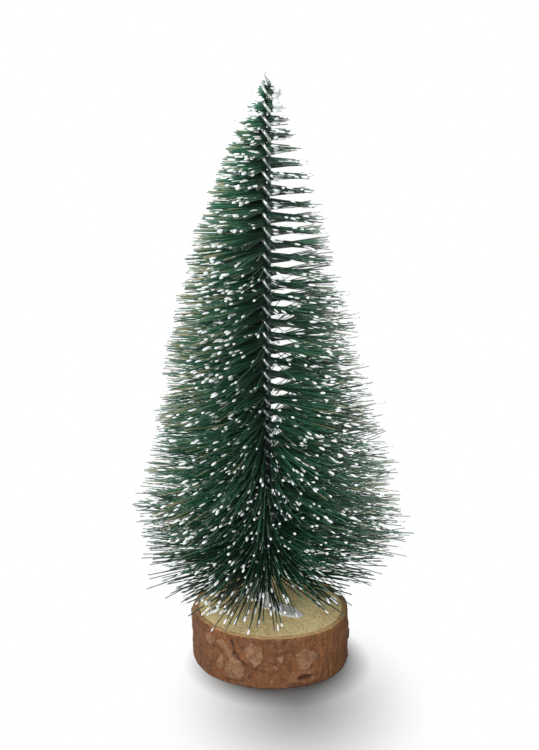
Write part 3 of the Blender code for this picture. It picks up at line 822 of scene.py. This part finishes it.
cut = add(brush, "ShaderNodeMath", {0: foot_cut, 1: trim}, operation="MULTIPLY")
shaped = add(brush, "ShaderNodeMath", {0: cone, 1: cut}, operation="MULTIPLY")
swelling = add(brush, "ShaderNodeMapRange", {
    "Value": climb, "From Min": LOPSIDED_FROM, "From Max": LOPSIDED_TO,
    "To Min": -LOPSIDED_FOOT, "To Max": LOPSIDED})
swollen = add(brush, "ShaderNodeMath", {0: swelling, 1: sideways}, operation="MULTIPLY")
lopsided = add(brush, "ShaderNodeMath", {0: 1.0, 1: swollen}, operation="SUBTRACT")
full_length = add(brush, "ShaderNodeMath", {0: shaped, 1: lopsided}, operation="MULTIPLY")
scaled = add(brush, "ShaderNodeMath", {0: full_length, 1: size["Brush radius"]}, operation="MULTIPLY")
reach = add(brush, "ShaderNodeMath", {0: scaled, 1: SHORTEST}, operation="MAXIMUM")
# Slope: level but for a little tilt, some hanging at the foot, lifted and fanned out on the right
tilted = add(brush, "FunctionNodeRandomValue", {
    "Min": -TILT_SPREAD, "Max": TILT_SPREAD, "ID": number, "Seed": 31}, data_type="FLOAT")
limpness = add(brush, "FunctionNodeRandomValue", {"ID": number, "Seed": 91}, data_type="FLOAT")
limp = add(brush, "ShaderNodeMath", {0: limpness, 1: LIMP_POWER}, operation="POWER")
hanging = add(brush, "ShaderNodeMath", {0: at_foot, 1: limp}, operation="MULTIPLY")
drooped = add(brush, "ShaderNodeMath", {0: hanging, 1: size["Droop"], 2: tilted}, operation="MULTIPLY_ADD")
lifted = add(brush, "ShaderNodeMath", {0: low_right, 1: -RIGHT_LIFT, 2: drooped}, operation="MULTIPLY_ADD")
fanned = add(brush, "FunctionNodeRandomValue", {
    "Min": -RIGHT_FANNING, "Max": RIGHT_FANNING, "ID": number, "Seed": 111}, data_type="FLOAT")
fanned_right = add(brush, "ShaderNodeMath", {0: fanned, 1: low_right}, operation="MULTIPLY")
droop = add(brush, "ShaderNodeMath", {0: fanned_right, 1: climb, 2: lifted}, operation="MULTIPLY_ADD")
# Direction: across the wires, in locks that sway together, and parted in front and behind
loose = add(brush, "FunctionNodeRandomValue", {
    "Min": -1.0, "Max": 1.0, "ID": number, "Seed": 21}, data_type="FLOAT")
splay = add(brush, "ShaderNodeMath", {
    0: at_foot, 1: FOOT_SPLAY, 2: AZIMUTH_SPREAD}, operation="MULTIPLY_ADD")
loosened = add(brush, "ShaderNodeMath", {0: loose, 1: splay, 2: sided}, operation="MULTIPLY_ADD")
lock_sway = add(brush, "ShaderNodeMath", {0: lock_parts["X"], 1: size["Lock sway"]}, operation="MULTIPLY")
swayed = add(brush, "ShaderNodeMath", {0: lock_sway, 1: left, 2: loosened}, operation="MULTIPLY_ADD")
twice_round = add(brush, "ShaderNodeMath", {0: sided, 1: 2.0}, operation="MULTIPLY")
quarter = add(brush, "ShaderNodeMath", {0: twice_round}, operation="SINE")
which_way = add(brush, "ShaderNodeMath", {0: quarter}, operation="SIGN")
in_parting = add(brush, "ShaderNodeMath", {0: fore_and_aft, 1: PARTING_SHARPNESS}, operation="POWER")
opening = add(brush, "ShaderNodeMapRange", {
    "Value": climb, "From Min": PARTING_FROM, "From Max": PARTING_TO,
    "To Min": PARTING_FOOT, "To Max": size["Parting"]})
yielding = add(brush, "FunctionNodeRandomValue", {"ID": number, "Seed": 101}, data_type="FLOAT")
obeyed = add(brush, "ShaderNodeMath", {0: yielding, 1: UNPARTED}, operation="GREATER_THAN")
sided_opening = add(brush, "ShaderNodeMapRange", {
    "Value": sideways, "From Min": -PARTING_CHANGE, "From Max": PARTING_CHANGE, "To Min": PARTING_LEFT})
opened_side = add(brush, "ShaderNodeMath", {0: opening, 1: sided_opening}, operation="MULTIPLY")
opened = add(brush, "ShaderNodeMath", {0: opened_side, 1: obeyed}, operation="MULTIPLY")
pushed = add(brush, "ShaderNodeMath", {0: in_parting, 1: opened}, operation="MULTIPLY")
parted = add(brush, "ShaderNodeMath", {0: pushed, 1: which_way}, operation="MULTIPLY")
azimuth = add(brush, "ShaderNodeMath", {0: swayed, 1: parted}, operation="SUBTRACT")
facing = add(brush, "ShaderNodeCombineXYZ", {"Y": droop, "Z": azimuth})
way = add(brush, "FunctionNodeEulerToRotation", {"Euler": facing})
# Rise of the tip: locks and tufts bend up or down towards their ends, less near the top and at the foot
lock_rise = add(brush, "ShaderNodeMath", {0: lock_parts["Y"], 1: size["Lock lift"]}, operation="MULTIPLY")
tuft_rise = add(brush, "ShaderNodeMath", {
    0: tuft_parts["Y"], 1: TUFT_LIFT, 2: lock_rise}, operation="MULTIPLY_ADD")
lock_lifted = add(brush, "ShaderNodeMath", {0: tuft_rise, 1: cone}, operation="MULTIPLY")
settled = add(brush, "ShaderNodeMath", {0: 1.0, 1: at_foot}, operation="SUBTRACT")
lock_settled = add(brush, "ShaderNodeMath", {0: lock_lifted, 1: settled}, operation="MULTIPLY")
tip_rise = add(brush, "ShaderNodeMath", {0: lock_settled, 1: left}, operation="MULTIPLY")
# Dye, unlike from filament to filament, and painted shade that darkens it at the foot, low down and on the
# right near the top
even_dye = add(brush, "FunctionNodeRandomValue", {"ID": number, "Seed": 41}, data_type="FLOAT")
unfaded = add(brush, "ShaderNodeMath", {
    0: fore_and_aft, 1: -FRONT_UNFADED, 2: 1.0}, operation="MULTIPLY_ADD")
paleness = add(brush, "ShaderNodeMath", {0: even_dye, 1: unfaded}, operation="MULTIPLY")
short_of_pale = add(brush, "ShaderNodeMath", {0: paleness, 1: 1.0}, operation="SUBTRACT")
low_painted_shade = add(brush, "ShaderNodeMath", {0: very_low, 1: LOW_PAINTED_SHADE}, operation="MULTIPLY")
# painted shade: low down and on the right near the top
painted_shade_depth = add(brush, "ShaderNodeMath", {
    0: top_right, 1: RIGHT_PAINTED_SHADE, 2: low_painted_shade}, operation="MULTIPLY_ADD")
dye_after_painted_shade = add(brush, "ShaderNodeMath", {
    0: painted_shade_depth, 1: short_of_pale, 2: paleness}, operation="MULTIPLY_ADD")
# painted shade: darker still at the foot
tint_after_painted_shade = add(brush, "ShaderNodeMath", {0: at_foot, 1: -FOOT_PAINTED_SHADE, 2: dye_after_painted_shade}, operation="MULTIPLY_ADD")
# Loss: filaments that have come out at the foot, and between the rows on the right
off_side = add(brush, "ShaderNodeMath", {0: fore_and_aft}, operation="SQRT")
gap_right = add(brush, "ShaderNodeMath", {0: high_right, 1: off_side}, operation="MULTIPLY")
lost_right = add(brush, "ShaderNodeMath", {0: gap_right, 1: RIGHT_LOSS}, operation="MULTIPLY")
lost = add(brush, "ShaderNodeMath", {0: lowest, 1: FOOT_LOSS, 2: lost_right}, operation="MULTIPLY_ADD")
luck = add(brush, "FunctionNodeRandomValue", {"ID": number, "Seed": 81}, data_type="FLOAT")
kept = add(brush, "ShaderNodeMath", {0: luck, 1: lost}, operation="GREATER_THAN")
# Filaments: a straight thread from each root that has kept its own, bent by its rise and given its thickness
root_spot = add(brush, "ShaderNodeCombineXYZ", {"Z": height})
rooted = add(brush, "GeometryNodeSetPosition", {"Geometry": roots, "Position": root_spot})
stoutness = add(brush, "ShaderNodeMath", {0: at_foot, 1: FOOT_STOUTNESS, 2: 1.0}, operation="MULTIPLY_ADD")
noted = rooted
for trait, value in (("rise", tip_rise), ("dye_and_painted_shade", tint_after_painted_shade), ("stout", stoutness)):
    noted = add(brush, "GeometryNodeStoreNamedAttribute", {
        "Geometry": noted, "Name": trait, "Value": value}, data_type="FLOAT")
thread = add(brush, "GeometryNodeCurvePrimitiveLine", {"End": (1.0, 0.0, 0.0)})
stepped = add(brush, "GeometryNodeResampleCurve", {"Curve": thread, "Count": FILAMENT_POINTS})
stretch = add(brush, "ShaderNodeCombineXYZ", {"X": reach, "Y": 1.0, "Z": 1.0})
laid = add(brush, "GeometryNodeInstanceOnPoints", {
    "Points": noted, "Selection": kept, "Instance": stepped, "Rotation": way, "Scale": stretch})
threads = add(brush, "GeometryNodeRealizeInstances", {"Geometry": laid})
way_out = add(brush, "GeometryNodeSplineParameter").outputs["Factor"]
own_rise = add(brush, "GeometryNodeInputNamedAttribute", {"Name": "rise"}, data_type="FLOAT")
bend = add(brush, "ShaderNodeMath", {0: way_out, 1: 2.0}, operation="POWER")
bend_rise = add(brush, "ShaderNodeMath", {0: bend, 1: own_rise.outputs[0]}, operation="MULTIPLY")
bend_way = add(brush, "ShaderNodeCombineXYZ", {"Z": bend_rise})
bent = add(brush, "GeometryNodeSetPosition", {"Geometry": threads, "Offset": bend_way})
marked = add(brush, "GeometryNodeStoreNamedAttribute", {
    "Geometry": bent, "Name": "along", "Value": way_out}, data_type="FLOAT")
thread_section = add(brush, "GeometryNodeCurvePrimitiveCircle", {"Resolution": FILAMENT_SIDES, "Radius": 0.5})
own_stoutness = add(brush, "GeometryNodeInputNamedAttribute", {"Name": "stout"}, data_type="FLOAT")
thickness = add(brush, "ShaderNodeMath", {
    0: own_stoutness.outputs[0], 1: size["Thickness"]}, operation="MULTIPLY")
drawn = add(brush, "GeometryNodeCurveToMesh", {
    "Curve": marked, "Profile Curve": thread_section, "Scale": thickness, "Fill Caps": True})
sleek = add(brush, "GeometryNodeSetShadeSmooth", {"Geometry": drawn})
green_threads = add(brush, "GeometryNodeSetMaterial", {"Geometry": sleek, "Material": size["Filament"]})
# Snow: a long drop at many of the tips, lying along its filament
reach_way = add(brush, "ShaderNodeCombineXYZ", {"X": reach})
outward = add(brush, "FunctionNodeRotateVector", {"Vector": reach_way, "Rotation": way})
tip_lift = add(brush, "ShaderNodeCombineXYZ", {"Z": tip_rise})
tip_way = add(brush, "ShaderNodeVectorMath", {0: outward, 1: tip_lift}, operation="ADD")
tips = add(brush, "GeometryNodeSetPosition", {"Geometry": rooted, "Offset": tip_way})
tip_slope = add(brush, "ShaderNodeMath", {0: tip_rise, 1: reach}, operation="DIVIDE")
tip_droop = add(brush, "ShaderNodeMath", {0: tip_slope, 1: -2.0, 2: droop}, operation="MULTIPLY_ADD")
tip_facing = add(brush, "ShaderNodeCombineXYZ", {"Y": tip_droop, "Z": azimuth})
tip_turn = add(brush, "FunctionNodeEulerToRotation", {"Euler": tip_facing})
dice = add(brush, "FunctionNodeRandomValue", {"ID": number, "Seed": 51}, data_type="FLOAT")
snow_chance = add(brush, "ShaderNodeMapRange", {
    "Value": chance, "To Min": SNOW_ON_LONGEST, "To Max": 2 - SNOW_ON_LONGEST})
snow_side = add(brush, "ShaderNodeMapRange", {
    "Value": fore_and_aft, "To Min": SNOW_TO_SIDES, "To Max": SNOW_IN_FRONT})
snow_right = add(brush, "ShaderNodeMath", {
    0: top_right, 1: SNOW_ON_RIGHT, 2: snow_side}, operation="MULTIPLY_ADD")
sided_share = add(brush, "ShaderNodeMath", {0: SNOW_SHARE, 1: snow_right}, operation="MULTIPLY")
spread_odds = add(brush, "ShaderNodeMath", {0: sided_share, 1: snow_chance}, operation="MULTIPLY")
snow_odds = add(brush, "ShaderNodeMath", {
    0: at_foot, 1: SNOW_ON_LOWEST, 2: spread_odds}, operation="MULTIPLY_ADD")
dipped = add(brush, "ShaderNodeMath", {0: dice, 1: snow_odds}, operation="LESS_THAN")
beaded = add(brush, "ShaderNodeMath", {0: dipped, 1: kept}, operation="MULTIPLY")
bead = add(brush, "GeometryNodeMeshUVSphere", {"Segments": DROP_SEGMENTS, "Rings": DROP_RINGS, "Radius": 0.5})
thick = add(brush, "FunctionNodeRandomValue", {
    "Min": SNOW_WIDTHS[0], "Max": SNOW_WIDTHS[1], "ID": number, "Seed": 61}, data_type="FLOAT")
drawn_out = add(brush, "FunctionNodeRandomValue", {
    "Min": SNOW_LENGTHS[0], "Max": SNOW_LENGTHS[1], "ID": number, "Seed": 71}, data_type="FLOAT")
bead_width = add(brush, "ShaderNodeMath", {0: size["Snow width"], 1: thick}, operation="MULTIPLY")
bead_length = add(brush, "ShaderNodeMath", {0: size["Snow length"], 1: drawn_out}, operation="MULTIPLY")
bead_size = add(brush, "ShaderNodeCombineXYZ", {"X": bead_length, "Y": bead_width, "Z": bead_width})
drops = add(brush, "GeometryNodeInstanceOnPoints", {
    "Points": tips, "Selection": beaded, "Instance": bead.outputs["Mesh"], "Rotation": tip_turn,
    "Scale": bead_size})
beads = add(brush, "GeometryNodeRealizeInstances", {"Geometry": drops})
smooth_beads = add(brush, "GeometryNodeSetShadeSmooth", {"Geometry": beads})
white_beads = add(brush, "GeometryNodeSetMaterial", {"Geometry": smooth_beads, "Material": size["Snow"]})
whole = add(brush, "GeometryNodeJoinGeometry", {"Geometry": green_threads})
feed(brush, whole, {"Geometry": white_beads})
add(brush, "NodeGroupOutput", {"Mesh": whole})

for turn in range(BRUSH_TURNS):
    node = f"bristle_turn_{turn + 1:02d}"
    fans = grow(node + "_finish", brush, {
        "Foot": BRUSH_FOOT + turn * TWIST_PITCH, "Filaments": FILAMENTS, "Thickness": FILAMENT_THICKNESS,
        "Brush radius": BRUSH_RADIUS, "Droop": FOOT_DROOP, "Lock sway": LOCK_SWAY, "Lock lift": LOCK_LIFT,
        "Parting": PARTING, "Snow length": SNOW_LENGTH, "Snow width": SNOW_WIDTH, "Seed": turn,
        "Filament": filament_finish, "Snow": snow_finish})
    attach(fans, "root")
    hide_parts(node)


# Floor, light and camera
# A white sweep that fades to pure white away from the tree, a broad lamp overhead and a little behind,
# a soft one in front, and a camera at the photograph's height.

FLOOR_SIZE = 6.0
SHADOW_MIDDLE = (0.010, -0.033, 0.0)
SHADOW_NARROWING = (1.42, 1.0, 1.0)
FADE_FROM = -0.014
FADE_TO = 0.068
CONTACT_SHADE_MIDDLE = (0.0041, -0.0060, 0.0)  # the painted contact shadow under the slice reaches further towards the front and the right
CONTACT_SHADE_FROM = SLICE_RADIUS - 0.0060
CONTACT_SHADE_TO = SLICE_RADIUS + 0.0060
SKY = 0.10  # strength of the light from all round
# painted shade: the paper is this grey, not white, so that the tree's cast shadow on it is deeper; away from
# the tree it is shown white
PAINTED_SHADE_PAPER_GREY = "#a2a2a2"
# painted contact shadow round the foot of the slice
PAINTED_CONTACT_SHADE_GREY = "#6e6e6e"
WHITE = "#ffffff"
# Name, place, width and watts of each lamp
LAMPS = (
    ("overhead_lamp", (-0.18, 0.50, 0.95), 0.50, 9.0),
    ("front_lamp", (-0.28, -0.98, 0.60), 0.42, 11.9),
)
LIT_SPOT = Vector((0.0, 0.0, 0.08))
CAMERA_SPOT = (0.00106, -0.4376, 0.231)
CAMERA_PITCH = math.radians(16.48)  # down from level
IMAGE_HEIGHT = 750  # pixels
FOCAL_LENGTH = 1383  # pixels
SENSOR = 36.0  # millimetres along the image's longer side


def seen_rays(tree):
    """1 for a ray that the eye follows, straight on, by a reflection or through something clear, else 0."""
    ray = add(tree, "ShaderNodeLightPath").outputs
    straight_or_mirrored = add(tree, "ShaderNodeMath", {
        0: ray["Is Camera Ray"], 1: ray["Is Glossy Ray"]}, operation="MAXIMUM")
    return add(tree, "ShaderNodeMath", {
        0: straight_or_mirrored, 1: ray["Is Transmission Ray"]}, operation="MAXIMUM")


# White paper: matt, shown pure white away from the tree. Near the tree it is grey, painted shade that deepens
# the tree's cast shadow, and darker still in a painted contact shadow round the foot of the slice.
floor_finish, tree, shader, place = new_finish("white_paper_sweep")
tree.nodes.remove(shader)
from_shadow = add(tree, "ShaderNodeVectorMath", {0: place, 1: SHADOW_MIDDLE}, operation="SUBTRACT")
narrowed = add(tree, "ShaderNodeVectorMath", {0: from_shadow, 1: SHADOW_NARROWING}, operation="MULTIPLY")
far = add(tree, "ShaderNodeVectorMath", {0: narrowed}, operation="LENGTH")
fade = add(tree, "ShaderNodeMapRange", {
    "Value": far, "From Min": FADE_FROM, "From Max": FADE_TO}, interpolation_type="SMOOTHSTEP")
# painted contact shadow: the paper darkens towards the foot of the slice
from_slice = add(tree, "ShaderNodeVectorMath", {0: place, 1: CONTACT_SHADE_MIDDLE}, operation="SUBTRACT")
off_slice = add(tree, "ShaderNodeVectorMath", {0: from_slice}, operation="LENGTH")
clear_of_contact_shade = add(tree, "ShaderNodeMapRange", {
    "Value": off_slice, "From Min": CONTACT_SHADE_FROM, "From Max": CONTACT_SHADE_TO})
faded_out = add(tree, "ShaderNodeMath", {0: fade, 1: clear_of_contact_shade}, operation="MULTIPLY")
white_share = add(tree, "ShaderNodeMath", {0: faded_out, 1: seen_rays(tree)}, operation="MULTIPLY")
painted_shade_paper = add(tree, "ShaderNodeMix", {
    "Factor": clear_of_contact_shade, "A": linear(PAINTED_CONTACT_SHADE_GREY), "B": linear(PAINTED_SHADE_PAPER_GREY)}, data_type="RGBA")
paper = add(tree, "ShaderNodeBsdfDiffuse", {"Color": painted_shade_paper})
white = add(tree, "ShaderNodeEmission", {"Color": linear(WHITE), "Strength": 1.0})
sweep = add(tree, "ShaderNodeMixShader", {0: white_share, 1: paper, 2: white})
feed(tree, tree.nodes["Material Output"], {"Surface": sweep})
bpy.ops.mesh.primitive_plane_add(size=FLOOR_SIZE)
floor = bpy.context.active_object
floor.name = "floor"
floor.data.materials.append(floor_finish)

world = bpy.data.worlds.new("white_studio")
world.use_nodes = True
bpy.context.scene.world = world
tree = world.node_tree
level = add(tree, "ShaderNodeMapRange", {"Value": seen_rays(tree), "To Min": SKY, "To Max": 1.0})
feed(tree, tree.nodes["Background"], {"Color": linear(WHITE), "Strength": level})

for name, spot, width, power in LAMPS:
    lamp = bpy.data.lights.new(name, "AREA")
    lamp.size = width
    lamp.energy = power
    stand = bpy.data.objects.new(name, lamp)
    stand.location = spot
    stand.rotation_euler = (LIT_SPOT - Vector(spot)).to_track_quat("-Z", "Y").to_euler()
    bpy.context.scene.collection.objects.link(stand)

lens = bpy.data.cameras.new("camera")
lens.sensor_width = SENSOR
lens.lens = FOCAL_LENGTH * SENSOR / IMAGE_HEIGHT
lens.clip_start = 0.01
camera = bpy.data.objects.new("camera", lens)
camera.location = CAMERA_SPOT
camera.rotation_euler = (math.pi / 2 - CAMERA_PITCH, 0.0, 0.0)
bpy.context.scene.collection.objects.link(camera)
bpy.context.scene.camera = camera
bpy.context.scene.view_settings.view_transform = "Standard"
